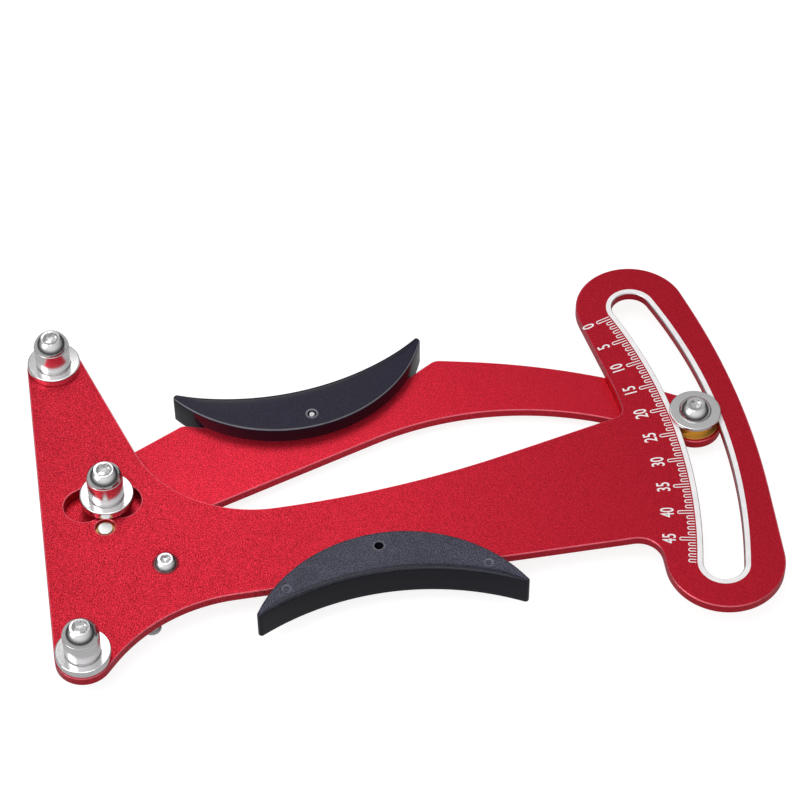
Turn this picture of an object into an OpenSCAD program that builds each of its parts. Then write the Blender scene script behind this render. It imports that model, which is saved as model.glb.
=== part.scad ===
// Spoke tension meter: a flat front plate with two fixed posts and a scale, and a
// flat lever behind it that carries the moving post and the pointer on one pivot.
// Millimetres. Origin: the pivot axis on the plane the meter rests on.
// +X runs towards the scale, +Y along the line of the fixed posts, +Z out of the face.

/* [Plates] */
// Thickness of the front plate and of the lever
plate_t = 3.0; // [2.5:0.1:3.5]
// Room behind the lever for nuts, studs and the spring
back_room = 3.7; // [3.7:0.1:5]
// Gap between the lever and the front plate
plate_gap = 0.5; // [0.4:0.1:1]

/* [Posts] */
// Distance of the fixed posts' line from the pivot
post_offset = 10; // [9:0.5:11]
// Height of the upper fixed post above the pivot
upper_post_y = 65; // [62:0.5:68]
// Depth of the lower fixed post below the pivot
lower_post_y = 45; // [43:0.5:47]
// Radius of the round wall that a spoke lies against
post_r = 5.35; // [5:0.05:5.8]
// Height of a post sleeve, flange and all
post_h = 10; // [8:0.5:12]
// Radius of the flange at the foot of a post
flange_r = 8; // [7:0.1:8.2]
// Thickness of that flange
flange_t = 2.45; // [1.5:0.05:3]
// Distance of the moving post from the pivot
moving_post_r = 10.5; // [10:0.1:11]
// Gap between the moving post's flange and the plate
moving_gap = 0.4; // [0.3:0.1:0.8]

/* [Scale] */
// Distance of the scale slot's middle line from the pivot
slot_r = 180.5; // [178:0.5:183]
// Width of the scale slot
slot_w = 12; // [11.8:0.1:12.6]
// Angle of the slot's upper end
slot_top = 19.8; // [18.5:0.1:20.5]
// Angle of the slot's lower end, below the pivot's level
slot_bottom = 13.3; // [12.5:0.1:14]
// Angle of the pointer as drawn
pointer_angle = 4.83; // [3:0.01:7]
// Radius of the pointer's washer
washer_r = 7.75; // [7:0.05:8.2]

/* [Pads] */
// Thickness of a grip pad at its middle
pad_t = 15; // [13:0.5:16]
// Height of a grip pad through its slot
pad_h = 10; // [9:0.5:11]
// Part of that height in front of its plate
pad_front = 5.4; // [4.5:0.1:6]
// Radius of a pad's bulging inner side
pad_in_r = 44.6; // [42:0.2:48]
// Radius of a pad's hollow outer side
pad_out_r = 79.4; // [74:0.2:86]
// Radius of a pad's blunt tips
pad_tip_r = 1.0; // [0.8:0.1:1.4]

/* [Spring] */
// Radius of the spring's wire
wire_r = 0.3; // [0.25:0.01:0.32]
// Radius of the curls, to the wire's middle
curl_r = 1.4; // [1.2:0.05:1.45]
// Number of curls, a whole number and a half
curls = 7.5; // [6.5:1:7.5]
// Radius of the two hooks, to the wire's middle
hook_r = 2.42; // [2.36:0.02:2.46]

/* [Hidden] */
$fn = 96;
RED = [0.80, 0.16, 0.24];
SILVER = [0.78, 0.78, 0.80];
STEEL = [0.66, 0.66, 0.69];
BRASS = [0.80, 0.62, 0.30];
PLASTIC = [0.24, 0.24, 0.27];

play = 0.02;        // radial play of a pin fixed in its hole
run = 0.05;         // radial play of a running fit
cut = 1;            // how far a cutter runs past a face

// Heights above the rest plane
lever_z = back_room;
lever_top = lever_z + plate_t;
plate_z = lever_top + plate_gap;
face_z = plate_z + plate_t;
moving_z = face_z + moving_gap;

// Places in the plane of the plates
upper_post = [-post_offset, upper_post_y];
lower_post = [-post_offset, -lower_post_y];
moving_post = polar(moving_post_r, 81.8);
pointer = polar(slot_r, pointer_angle);
anchor = [16.1, -16.2];         // the spring's fixed end
tail_end = [10, -31];           // the spring's end on the lever
lower_pad_at = [79, -18.5];
upper_pad_at = [67.1, 27.5];
upper_pad_turn = 8.6;
lower_hole = 1.5;               // pad screw, along the pad from its middle
upper_hole = -0.9;
hole_in = 5;                    // pad screw, in from the bulging side

// Fasteners
m6_r = 3;
m5_r = 2.5;
m4_r = 2;
nut_h = 3.2;
pin_r = 2.25;
insert_r = 2.9;
bush_r = 3.6;
lobe_r = 8.3;
tip_r = 8.2;
window_w = 12.4;
stud_r = 2.8;
groove_r = 2.0;
groove_h = 1.2;
spring_z = 1.85;

// ---- outlines -------------------------------------------------------------

function unit(v) = v / norm(v);
function polar(r, a) = r * [cos(a), sin(a)];
function turn(p, a) = [p.x * cos(a) - p.y * sin(a), p.x * sin(a) + p.y * cos(a)];

// Two corners [x, y, r] that round into one arc about c. The outline comes to it from
// the point before, goes on to the point after, and touches it on its right-hand side.
function lobe(c, r, before, after) =
    let (n0 = atan2(before.y - c.y, before.x - c.x) + acos(r / norm(before - c)),
         n1 = atan2(after.y - c.y, after.x - c.x) - acos(r / norm(after - c)),
         q = (n1 - n0 + 360 * ceil((n0 - n1) / 360)) / 4)
    [for (k = [1, 3]) concat(c + polar(r / cos(q), n0 + k * q), [r])];

// Points along an arc about o, its last left out, within 0.015 of the true curve.
function arc(o, r, a0, a1) =
    let (n = ceil(abs(a1 - a0) / min(7.5, 2 * acos(1 - 0.015 / r))))
    [for (i = [0 : n - 1]) o + polar(r, a0 + (a1 - a0) * i / n)];

// The arc of radius r that rounds corner b between its neighbours a and c.
function corner(a, b, c, r) =
    r == 0 ? [b] :
    let (u = unit(a - b), w = unit(c - b), half = acos(u * w) / 2,
         o = b + unit(u + w) * r / sin(half),
         s = b + u * r / tan(half) - o,
         e = b + w * r / tan(half) - o,
         a0 = atan2(s.y, s.x),
         swing = atan2(e.y, e.x) - a0,
         sweep = swing - 360 * round(swing / 360))
    concat(arc(o, r, a0, a0 + sweep), [o + polar(r, a0 + sweep)]);

// A closed outline from its corners [x, y, r], given counter-clockwise.
function rounded(p) =
    let (n = len(p), q = [for (v = p) [v.x, v.y]],
         all = [for (i = [0 : n - 1])
                each corner(q[(i + n - 1) % n], q[i], q[(i + 1) % n], p[i][2])],
         m = len(all))
    [for (i = [0 : m - 1]) if (norm(all[i] - all[(i + 1) % m]) > 0.01) all[i]];

left_edge = [-post_offset - lobe_r, 0];
plate_outline = rounded(concat(
    lobe(lower_post, lobe_r, left_edge, [12.8, -30.8]),
    [[12.8, -30.8, 48], [159.1, -28.6, 7]],
    lobe([176.4, -40.2], 17.4, [159.1, -28.6], [197, 21.5]),
    [[197, 21.5, 260]],
    lobe([169.8, 60.8], 17.2, [197, 21.5], [158.1, 28]),
    [[158.1, 28, 50], [158.8, 18.3, 3.5], [86.8, 0.1, 300], [20.6, -1.2, 40]],
    lobe(upper_post, lobe_r, [20.6, -1.2], left_edge)));

// The lever: its arm, the disc about the pivot, and the tail that holds the spring,
// which is narrow where it passes the fixed stud.
disc_r = 17;
lever_outline = rounded(concat(
    [[20.8, 2.05, 8], [126.5, 38.9, 96]],
    lobe(pointer, tip_r, [126.5, 38.9], [147.3, 43.5]),
    [[147.3, 43.5, 200], [106.2, 52.2, 4.5], [66.4, 26.1, 86], [26.5, 38.2, 3],
     [-11.4, 18.4, 10]],
    lobe([0, 0], disc_r, [-11.4, 18.4], [-0.1, -18.05]),
    [[-0.1, -18.05, 4]],
    lobe(tail_end, 3.5, [-0.1, -18.05], [7.7, -20.5]),
    [[7.7, -20.5, 4], [7.8, -15.65, 2.5]],
    lobe([0, 0], disc_r, [7.8, -15.65], [20.8, 2.05])));

// ---- shapes used more than once -------------------------------------------

module plate(points, z) {
    translate([0, 0, z]) linear_extrude(plate_t) polygon(points);
}

module hole(p, r) {
    translate([p.x, p.y, -cut]) cylinder(r = r, h = face_z + 2 * cut);
}

// A slot with round ends along an arc about the pivot, through everything.
module arc_slot(r, w, a0, a1) {
    translate([0, 0, -cut]) linear_extrude(face_z + 2 * cut) polygon(concat(
        arc([0, 0], r + w / 2, a0, a1), arc(polar(r, a1), w / 2, a1, a1 + 180),
        arc([0, 0], r - w / 2, a1, a0), arc(polar(r, a0), w / 2, a0 + 180, a0 + 360)));
}

module ring(p, z, r, bore, h) {
    translate([p.x, p.y, z]) difference() {
        cylinder(r = r, h = h);
        translate([0, 0, -cut]) cylinder(r = bore, h = h + 2 * cut);
    }
}

// A domed screw: its head stands on z and its shank ends at z_end below it.
module button_screw(p, z, z_end, head_r, head_h, hex, shank_r) {
    rim = 0.2 * head_h;
    flat = 0.55 * head_r;
    drop = (head_r * head_r + rim * rim - flat * flat - head_h * head_h)
        / (2 * (rim - head_h));
    ball = norm([flat, head_h - drop]);
    translate([p.x, p.y, z]) difference() {
        union() {
            intersection() {
                cylinder(r = head_r, h = head_h);
                translate([0, 0, drop]) sphere(r = ball);
            }
            translate([0, 0, z_end - z]) cylinder(r = shank_r, h = z - z_end + 0.1);
        }
        translate([0, 0, 0.4 * head_h])
            cylinder(r = hex / 2 / cos(30), h = head_h, $fn = 6);
    }
}

// A round-headed screw driven from behind: its head hangs under z.
module rear_screw(p, z, z_end, head_r, head_h, shank_r) {
    translate([p.x, p.y, 0]) difference() {
        union() {
            translate([0, 0, z - head_h]) cylinder(r = head_r, h = head_h);
            translate([0, 0, z - 0.1]) cylinder(r = shank_r, h = z_end - z + 0.1);
        }
        translate([0, 0, z - head_h - cut])
            cylinder(r = 0.75 / cos(30), h = cut + 0.8, $fn = 6);
    }
}

module hex_nut(p, z, across, bore, h) {
    translate([p.x, p.y, z]) difference() {
        cylinder(r = across / 2 / cos(30), h = h, $fn = 6);
        translate([0, 0, -cut]) cylinder(r = bore, h = h + 2 * cut);
    }
}

// A turned post: flange, a shallow relief above it, and the spoke's wall.
module post_sleeve(p, z) {
    relief = 0.35;
    translate([p.x, p.y, z]) rotate_extrude() polygon([
        [m6_r + run, 0], [flange_r - 0.3, 0], [flange_r, 0.3],
        [flange_r, flange_t - 0.4], [flange_r - 0.4, flange_t],
        [post_r - relief, flange_t], [post_r - relief, flange_t + 0.5],
        [post_r, flange_t + 0.5 + relief], [post_r, post_h - 0.2],
        [post_r - 0.2, post_h], [m6_r + run, post_h]]);
}

module post_screw(p, z) {
    button_screw(p, z + post_h, 0, 5.25, 3.3, 4, m6_r);
}

// A turned stud that carries one hook of the spring in its groove.
module grooved_stud(p, top) {
    low = spring_z - groove_h / 2;
    high = spring_z + groove_h / 2;
    translate([p.x, p.y, 0]) {
        cylinder(r = stud_r, h = low);
        cylinder(r = groove_r, h = high + 0.1);
        translate([0, 0, high]) cylinder(r = stud_r, h = top - high);
    }
}

// ---- grip pads ------------------------------------------------------------

// In a pad's own plane the bulging side touches y = 0 and the hollow side is at
// y = pad_t; each tip is a small circle that touches both sides.
in_c = [0, pad_in_r];
out_c = [0, pad_t + pad_out_r];
tip_y = let (a = pad_in_r - pad_tip_r, b = pad_out_r + pad_tip_r)
    (out_c.y * out_c.y - in_c.y * in_c.y - b * b + a * a) / (2 * (out_c.y - in_c.y));
tip_x = sqrt(pow(pad_in_r - pad_tip_r, 2) - pow(tip_y - in_c.y, 2));
tip = [tip_x, tip_y];
tip_in = tip + pad_tip_r * unit(tip - in_c);
tip_out = tip - pad_tip_r * unit(tip - out_c);
tip_dir = unit(tip_in - tip_out);
clip = [tip_in + 60 * tip_dir, tip_out - 8 * tip_dir];

module pad_solid() {
    difference() {
        intersection() {
            translate(in_c) cylinder(r = pad_in_r, h = pad_h, $fn = 240);
            translate([0, 0, -cut]) linear_extrude(pad_h + 2 * cut)
                polygon([clip[0], clip[1], [-clip[1].x, clip[1].y],
                         [-clip[0].x, clip[0].y]]);
        }
        translate([out_c.x, out_c.y, -cut])
            cylinder(r = pad_out_r, h = pad_h + 2 * cut, $fn = 360);
    }
    for (s = [-1, 1]) translate([s * tip.x, tip.y, 0])
        cylinder(r = pad_tip_r, h = pad_h);
}

module place_pad(at, angle, z) {
    translate([at.x, at.y, z]) rotate([0, 0, angle]) children();
}

pad_back = pad_h - pad_front - plate_t;     // pad left behind its plate
lower_pad_z = plate_z - pad_back;
upper_pad_z = lever_z - pad_back;
lower_hole_at = lower_pad_at + turn([lower_hole, hole_in], 180);
upper_hole_at = upper_pad_at + turn([upper_hole, hole_in], upper_pad_turn);

// ---- the front plate and what is fixed to it ------------------------------

module front_plate() color(RED) difference() {
    plate(plate_outline, plate_z);
    for (p = [upper_post, lower_post]) hole(p, m6_r + run);
    hole([0, 0], insert_r + play);
    hole(anchor, m4_r + run);
    hole(lower_hole_at, 1.3);
    arc_slot(moving_post_r, window_w, 60, 120);
    arc_slot(slot_r, slot_w, -slot_bottom, slot_top);
}

module upper_post_sleeve() color(SILVER) post_sleeve(upper_post, face_z);
module lower_post_sleeve() color(SILVER) post_sleeve(lower_post, face_z);
module upper_post_screw() color(STEEL) post_screw(upper_post, face_z);
module lower_post_screw() color(STEEL) post_screw(lower_post, face_z);
module upper_post_nut() color(STEEL)
    hex_nut(upper_post, plate_z - nut_h, 10, m6_r + play, nut_h);
module lower_post_nut() color(STEEL)
    hex_nut(lower_post, plate_z - nut_h, 10, m6_r + play, nut_h);

// Its head bears behind the lever; its polished end shows in the brass insert.
module pivot_pin() color(SILVER) {
    cylinder(r = 5, h = lever_z - 0.5);
    cylinder(r = pin_r, h = face_z - 0.4);
}

module pivot_insert() color(BRASS)
    ring([0, 0], plate_z, insert_r, pin_r + play, plate_t);

module pivot_thrust_washer() color(STEEL)
    ring([0, 0], lever_top + play, 4.2, pin_r + run, plate_gap - 2 * play);

module pivot_back_washer() color(STEEL)
    ring([0, 0], lever_z - 0.5 + play, 5, pin_r + run, 0.5 - 2 * play);

module lower_pad() color(PLASTIC) difference() {
    place_pad(lower_pad_at, 180, lower_pad_z) pad_solid();
    // the plate's straight lower edge runs in this slot
    translate([0, 0, plate_z]) linear_extrude(plate_t)
        polygon([[20, -30.8], [140, -29], [140, 0], [20, 0]]);
    translate([lower_hole_at.x, lower_hole_at.y, 0]) cylinder(r = 1.25, h = 30);
}

module lower_pad_screw() color(STEEL)
    rear_screw(lower_hole_at, lower_pad_z, lower_pad_z + 6.5, 2.4, 1.5, 1.2);

module spring_anchor_screw() color(STEEL)
    button_screw(anchor, face_z, plate_z - 3.4, 3.9, 2.2, 2.5, m4_r);

module spring_anchor_stud() color(SILVER) difference() {
    grooved_stud(anchor, plate_z);
    translate([anchor.x, anchor.y, plate_z - 3.6]) cylinder(r = m4_r + play, h = 4);
}

// ---- the lever and what turns with it -------------------------------------

module lever_arm() color(RED) difference() {
    plate(lever_outline, lever_z);
    hole([0, 0], bush_r + play);
    hole(moving_post, m6_r + run);
    hole(pointer, m5_r + run);
    hole(tail_end, m4_r + play);
    hole(upper_hole_at, 1.3);
}

module lever_bush() color(BRASS) ring([0, 0], lever_z, bush_r, pin_r + run, plate_t);

module moving_post_sleeve() color(SILVER) post_sleeve(moving_post, moving_z);

module moving_post_spacer() color(SILVER)
    ring(moving_post, lever_top, 5, m6_r + run, moving_z - lever_top);

module moving_post_screw() color(STEEL) post_screw(moving_post, moving_z);

module moving_post_nut() color(STEEL)
    hex_nut(moving_post, lever_z - nut_h, 10, m6_r + play, nut_h);

washer_z = face_z + 0.1;
washer_h = 1.6;

module pointer_bush() color(BRASS)
    ring(pointer, lever_top, slot_w / 2 - 0.3, m5_r + play, washer_z - lever_top);

module pointer_washer() color(SILVER) translate([pointer.x, pointer.y, washer_z])
    rotate_extrude() polygon([
        [m5_r + play, 0], [washer_r - 0.8, 0], [washer_r, 0.6],
        [washer_r, washer_h - 0.2], [washer_r - 0.2, washer_h],
        [m5_r + play, washer_h]]);

module pointer_screw() color(STEEL)
    button_screw(pointer, washer_z + washer_h, 0, 5, 2.8, 3.2, m5_r);

module pointer_nut() color(STEEL)
    hex_nut(pointer, lever_z - 2.7, 8, m5_r + play, 2.7);

module upper_pad() color(PLASTIC) difference() {
    place_pad(upper_pad_at, upper_pad_turn, upper_pad_z) pad_solid();
    // the slot's floor follows the arc of the lever's upper edge, 0.2 clear of it
    translate([0, 0, lever_z]) difference() {
        translate([20, 10, 0]) cube([95, 60, plate_t]);
        translate([upper_edge_c.x, upper_edge_c.y, -cut])
            cylinder(r = 85.8, h = plate_t + 2 * cut, $fn = 360);
    }
    translate([upper_hole_at.x, upper_hole_at.y, 0]) cylinder(r = 1.25, h = 30);
}

// Centre of the arc that rounds the lever's corner [66.4, 26.1, 86].
upper_edge_c = let (b = [66.4, 26.1], u = unit([106.2, 52.2] - b),
                    w = unit([26.5, 38.2] - b), half = acos(u * w) / 2)
    b + unit(u + w) * 86 / sin(half);

module upper_pad_screw() color(STEEL)
    rear_screw(upper_hole_at, upper_pad_z, upper_pad_z + 9.6, 2.4, 1.5, 1.2);

module spring_lever_stud() color(SILVER) {
    grooved_stud(tail_end, lever_z);
    translate([tail_end.x, tail_end.y, lever_z - 0.1])
        cylinder(r = m4_r, h = plate_t + 0.1);
}

// ---- the spring: one unbroken wire, hook, curls, hook ---------------------

spring_len = norm(anchor - tail_end);
hook_start = 75;                // where a hook's wire ends, from the spring's axis
hook_end = 325;                 // where it leaves the stud for the curls
first_curl = hook_r + 0.82;     // along the axis from the stud
coil_len = spring_len - 2 * first_curl;
arc_step = 18;
curl_step = 45;                 // eight rings of wire to a curl

function hook_at(a) = [hook_r * cos(a), hook_r * sin(a), 0];
function hook_dir(a) = [-sin(a), cos(a), 0];
function curl_at(a) = [first_curl + coil_len * a / (360 * curls),
                       curl_r * cos(a), curl_r * sin(a)];
function bend(p, pd, q, qd, s) = let (t = 1 - s)
    t * t * t * p + 3 * t * t * s * (p + pd) + 3 * t * s * s * (q - qd) + s * s * s * q;
function flip(p) = [spring_len - p.x, -p.y, p.z];

// Half of the hook end: a straight tip, the ring about the stud, and the bend.
hook = concat(
    [hook_at(hook_start) - 2 * wire_r * hook_dir(hook_start)],
    [for (a = [hook_start : arc_step : hook_end]) hook_at(a)],
    [for (s = [0.2 : 0.2 : 0.85])
        bend(hook_at(hook_end), 0.9 * hook_dir(hook_end), curl_at(0), [0, 0, 0.9], s)]);
wire = concat(
    hook,
    [for (a = [0 : curl_step : 360 * curls]) curl_at(a)],
    [for (i = [len(hook) - 1 : -1 : 0]) flip(hook[i])]);
count = len(wire);
heading = [for (i = [0 : count - 1])
    unit(wire[min(i + 1, count - 1)] - wire[max(i - 1, 0)])];
function square_to(n, t) = unit(n - t * (n * t));
side = [for (i = 0, n = square_to([0, 0, 1], heading[0]); i < count;
             i = i + 1, n = i < count ? square_to(n, heading[i]) : n) n];

wire_gap = min([for (i = [0 : count - 1]) for (j = [i + 5 : 1 : count - 1])
    norm(wire[i] - wire[j])]) - 2 * wire_r;
echo(spring_gap_to_itself_mm = wire_gap);  // spring

module spring() color(STEEL)
    translate([tail_end.x, tail_end.y, spring_z])
    rotate([0, 0, atan2(anchor.y - tail_end.y, anchor.x - tail_end.x)])
    polyhedron(
        points = [for (i = [0 : count - 1]) for (k = [0 : 5])
            wire[i] + wire_r * (cos(60 * k) * side[i]
                                + sin(60 * k) * cross(heading[i], side[i]))],
        faces = concat(
            [[for (k = [5 : -1 : 0]) k]],
            [for (i = [0 : count - 2]) for (k = [0 : 5]) for (h = [0, 1])
                let (a = 6 * i + k, b = 6 * i + (k + 1) % 6)
                h == 0 ? [a, b, b + 6] : [a, b + 6, a + 6]],
            [[for (k = [0 : 5]) 6 * (count - 1) + k]]));

// ---- output ---------------------------------------------------------------

front_plate();
upper_post_sleeve();
lower_post_sleeve();
upper_post_screw();
lower_post_screw();
upper_post_nut();
lower_post_nut();
pivot_pin();
pivot_insert();
pivot_thrust_washer();
pivot_back_washer();
lower_pad();
lower_pad_screw();
spring_anchor_screw();
spring_anchor_stud();
lever_arm();
lever_bush();
moving_post_sleeve();
moving_post_spacer();
moving_post_screw();
moving_post_nut();
pointer_bush();
pointer_washer();
pointer_screw();
pointer_nut();
upper_pad();
upper_pad_screw();
spring_lever_stud();
spring();
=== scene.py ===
# %% [markdown]
# # A spoke tension meter
# Two posts stand on a flat red plate, and a third on a lever behind it. Squeezing the
# grips turns the lever about one pin, and a pointer on its end shows on an arc scale how
# far the third post stands from the line of the other two. The frame is the finished
# model of the working parts: each one already has its size, its place and the body that
# it moves with. The visible surfaces are worked out here with numpy, and each takes its
# heights from the frame.

# %% Load the frame
from math import acos, atan2, ceil, cos, hypot, pi, radians, sin, tan

import bpy
import numpy as np
from mathutils import Matrix, Vector
from mathutils.geometry import tessellate_polygon


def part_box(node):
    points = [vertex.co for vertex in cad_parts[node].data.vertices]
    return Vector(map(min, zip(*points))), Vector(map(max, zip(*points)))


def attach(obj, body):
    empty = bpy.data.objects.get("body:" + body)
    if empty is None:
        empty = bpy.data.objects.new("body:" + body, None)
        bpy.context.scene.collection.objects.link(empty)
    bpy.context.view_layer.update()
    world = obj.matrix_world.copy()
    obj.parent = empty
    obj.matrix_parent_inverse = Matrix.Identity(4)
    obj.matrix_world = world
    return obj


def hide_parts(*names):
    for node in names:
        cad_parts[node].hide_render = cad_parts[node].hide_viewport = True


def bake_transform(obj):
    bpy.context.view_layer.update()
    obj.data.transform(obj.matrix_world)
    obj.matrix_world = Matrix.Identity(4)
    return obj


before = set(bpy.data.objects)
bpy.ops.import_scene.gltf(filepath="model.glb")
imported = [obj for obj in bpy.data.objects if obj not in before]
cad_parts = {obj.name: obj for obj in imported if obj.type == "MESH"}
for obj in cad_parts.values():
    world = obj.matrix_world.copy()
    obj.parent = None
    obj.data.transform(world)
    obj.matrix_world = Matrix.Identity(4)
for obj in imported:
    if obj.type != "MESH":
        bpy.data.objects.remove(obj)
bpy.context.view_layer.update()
MM = 0.001  # the shapes below are written in millimetres


def heights(node):
    """The lowest and highest z of a node of the frame, in millimetres."""
    low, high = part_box(node)
    return low.z / MM, high.z / MM


def middle(node):
    """The plan centre of a round node of the frame, in millimetres."""
    low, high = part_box(node)
    return np.array([low.x + high.x, low.y + high.y]) / 2 / MM


plate_back, face = heights("front_plate")
lever_back, lever_front = heights("lever_arm")
print("nodes", len(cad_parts), "plate", plate_back, face,
      "lever", lever_back, lever_front)

# %% [markdown]
# ## The camera
# A camera is a place, three directions and a lens. It could be aimed by eye, but then no
# edge would fall where it should. These values were fitted to the round parts of the
# photograph, because a circle seen at an angle shows the tilt, and its size shows the
# distance. The pivot is the point that the fit turns about.

# %% Place the camera
LENS, SENSOR = 126.39, 36.0     # mm
IMAGE = 800                     # the picture's side, in its own points
PIVOT_IN_PICTURE = (105.2, 527.0)
PIVOT_DEPTH = 821.7             # mm, along the line of sight
ELEVATION, TURN, ROLL = radians(49.06), radians(-8.5), radians(0.53)


def camera_pose():
    """Axes and place of the camera: tilt, then roll, then turn about the pivot's axis."""
    tilt = Matrix(((1, 0, 0), (0, sin(ELEVATION), cos(ELEVATION)),
                   (0, -cos(ELEVATION), sin(ELEVATION))))
    roll = Matrix(((cos(ROLL), -sin(ROLL), 0), (sin(ROLL), cos(ROLL), 0), (0, 0, 1)))
    axes = Matrix.Rotation(TURN, 3, "Z") @ (roll @ tilt).transposed()
    per_point = PIVOT_DEPTH * SENSOR / (LENS * IMAGE)
    to_pivot = Vector(((PIVOT_IN_PICTURE[0] - IMAGE / 2) * per_point,
                       (IMAGE / 2 - PIVOT_IN_PICTURE[1]) * per_point, -PIVOT_DEPTH))
    return axes, (Vector((0, 0, face)) - axes @ to_pivot) * MM


axes, place = camera_pose()
camera = bpy.data.objects.new("camera", bpy.data.cameras.new("camera"))
camera.data.lens, camera.data.sensor_width = LENS, SENSOR
camera.matrix_world = Matrix.Translation(place) @ axes.to_4x4()
bpy.context.collection.objects.link(camera)
bpy.context.scene.camera = camera
print("camera at", [round(v, 3) for v in place])

# %% [markdown]
# ## Light
# The tool was photographed against white with broad soft light, stronger from the left.
# A flat metal face shows only what stands opposite to it, so a small sheet stands where
# the red face mirrors it to the camera, and two large ones light the tool from the left
# and from above. A sun lamp would be simpler, but a round steel head would show it as a
# hard dot, where a sheet leaves the soft patch of a studio box.

# %% Lights
TOOL_MIDDLE = (0.08, 0.01, 0)           # m
SHINE_AT = (0.040, -0.015, face * MM)   # m, where the red face is brightest


def sheet_light(name, at, size, power):
    """A square light at a place in metres that faces the middle of the tool."""
    lamp = bpy.data.lights.new(name, "AREA")
    lamp.size, lamp.energy = size, power
    light = bpy.data.objects.new(name, lamp)
    light.location = at
    light.rotation_euler = (Vector(TOOL_MIDDLE) - Vector(at)).to_track_quat(
        "-Z", "Y").to_euler()
    bpy.context.collection.objects.link(light)
    print(name, "at", [round(v, 3) for v in at])


def opposite(point, distance):
    """Where a level face mirrors the camera: the line of sight, turned half round about
    the upright through the point."""
    to_camera = place - Vector(point)
    away = Vector((-to_camera.x, -to_camera.y, to_camera.z)).normalized()
    return Vector(point) + away * distance


sheet_light("far_sheet", opposite(SHINE_AT, 0.42), 0.16, 0.165)
sheet_light("left_sheet", (-0.7, -0.20, 0.80), 0.5, 2.6)
sheet_light("top_sheet", (-0.05, -0.10, 1.2), 0.6, 2.6)

# %% [markdown]
# ## The room
# Polished metal has no colour of its own: it shows the room. A picture of a real room
# could be wrapped round the scene, but a ramp over the height does the same with a few
# numbers: a dark band at eye level, a pale ceiling, and more light on the left and on
# the camera's side. The camera itself sees plain white. Three small helpers wire the
# nodes, here and in the finishes.


# %% Helpers for nodes
def feed(tree, value, socket):
    """Gives a socket its value: a number, a colour, or another socket's output."""
    if isinstance(value, (int, float)):
        socket.default_value = value
    elif isinstance(value, tuple):
        socket.default_value = (*value, 1)
    else:
        tree.links.new(value, socket)


def spread(tree, value, low, high, to_low=0.0, to_high=1.0):
    """Stretches the values from low to high over to_low to to_high, and clamps them."""
    node = tree.nodes.new("ShaderNodeMapRange")
    for label, number in (("From Min", low), ("From Max", high),
                          ("To Min", to_low), ("To Max", to_high)):
        node.inputs[label].default_value = number
    tree.links.new(value, node.inputs["Value"])
    return node.outputs["Result"]


def maths(tree, operation, a, b):
    """One Math node; a and b are sockets or numbers."""
    node = tree.nodes.new("ShaderNodeMath")
    node.operation = operation
    for socket, value in zip(node.inputs, (a, b)):
        feed(tree, value, socket)
    return node.outputs["Value"]


# %% The room's brightness
ROOM_STOPS = ((0.0, 0.45), (0.47, 0.10), (0.53, 0.02), (0.60, 0.04), (0.83, 0.52),
              (0.88, 0.58), (1.0, 0.50))           # from straight down to straight up
ROOM_SIDES = (("X", 1.25, 0.75), ("Y", 1.9, 0.7))  # the factors at -1 and at +1


def room_value(room):
    """The ramp at the direction's height, times a factor that runs across the room
    along X, times another along Y."""
    way = room.nodes.new("ShaderNodeSeparateXYZ")
    room.links.new(room.nodes.new("ShaderNodeTexCoord").outputs["Generated"],
                   way.inputs["Vector"])
    ramp = room.nodes.new("ShaderNodeValToRGB")
    ramp.color_ramp.interpolation = "EASE"
    stops = ramp.color_ramp.elements
    while len(stops) < len(ROOM_STOPS):
        stops.new(0.5)
    for stop, (at, value) in zip(stops, ROOM_STOPS):
        stop.position, stop.color = at, (value, value, value, 1)
    room.links.new(spread(room, way.outputs["Z"], -1, 1), ramp.inputs["Fac"])
    value = ramp.outputs["Color"]
    for axis, at_minus, at_plus in ROOM_SIDES:
        side = spread(room, way.outputs[axis], -1, 1, at_minus, at_plus)
        value = maths(room, "MULTIPLY", value, side)
    return value


print("room stops", len(ROOM_STOPS), "sides", len(ROOM_SIDES))


# %% Hang the room
world = bpy.data.worlds.new("pale_room")
world.use_nodes = True
bpy.context.scene.world = world
bpy.context.scene.view_settings.view_transform = "Standard"
room = world.node_tree
background = room.nodes["Background"]
seen = room.nodes.new("ShaderNodeLightPath")
choice = room.nodes.new("ShaderNodeMix")
room.links.new(seen.outputs["Is Camera Ray"], choice.inputs[0])
room.links.new(room_value(room), choice.inputs[2])
choice.inputs[3].default_value = 1.0
room.links.new(choice.outputs[0], background.inputs["Strength"])
background.inputs["Color"].default_value = (1.0, 1.0, 1.0, 1)
print("room nodes", len(room.nodes))

# %% [markdown]
# ## Shared effects for the finishes
# The same few things happen on every surface: a fine grain left by blasting or by the
# mould, slow changes where hands have been, and paler edges, partly worn and partly a
# painted highlight. Each is a node group that gives out a value, and each material uses
# it in its own measure.
# The size of a noise cell is one over its scale, in metres.


# %% Node groups
def group(name, inputs, outputs):
    """An empty node group with named float inputs, after a vector, and float outputs."""
    tree = bpy.data.node_groups.new(name, "ShaderNodeTree")
    tree.interface.new_socket("Vector", in_out="INPUT", socket_type="NodeSocketVector")
    for label, value in inputs.items():
        socket = tree.interface.new_socket(label, in_out="INPUT",
                                           socket_type="NodeSocketFloat")
        socket.default_value = value
    for label in outputs:
        tree.interface.new_socket(label, in_out="OUTPUT", socket_type="NodeSocketFloat")
    return tree, tree.nodes.new("NodeGroupInput"), tree.nodes.new("NodeGroupOutput")


def noise(tree, vector, scale, detail=2.0, roughness=0.5):
    """A noise texture on a vector; scale is a number or a socket."""
    node = tree.nodes.new("ShaderNodeTexNoise")
    node.inputs["Detail"].default_value = detail
    node.inputs["Roughness"].default_value = roughness
    tree.links.new(vector, node.inputs["Vector"])
    feed(tree, scale, node.inputs["Scale"])
    return node.outputs["Fac"]


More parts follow.
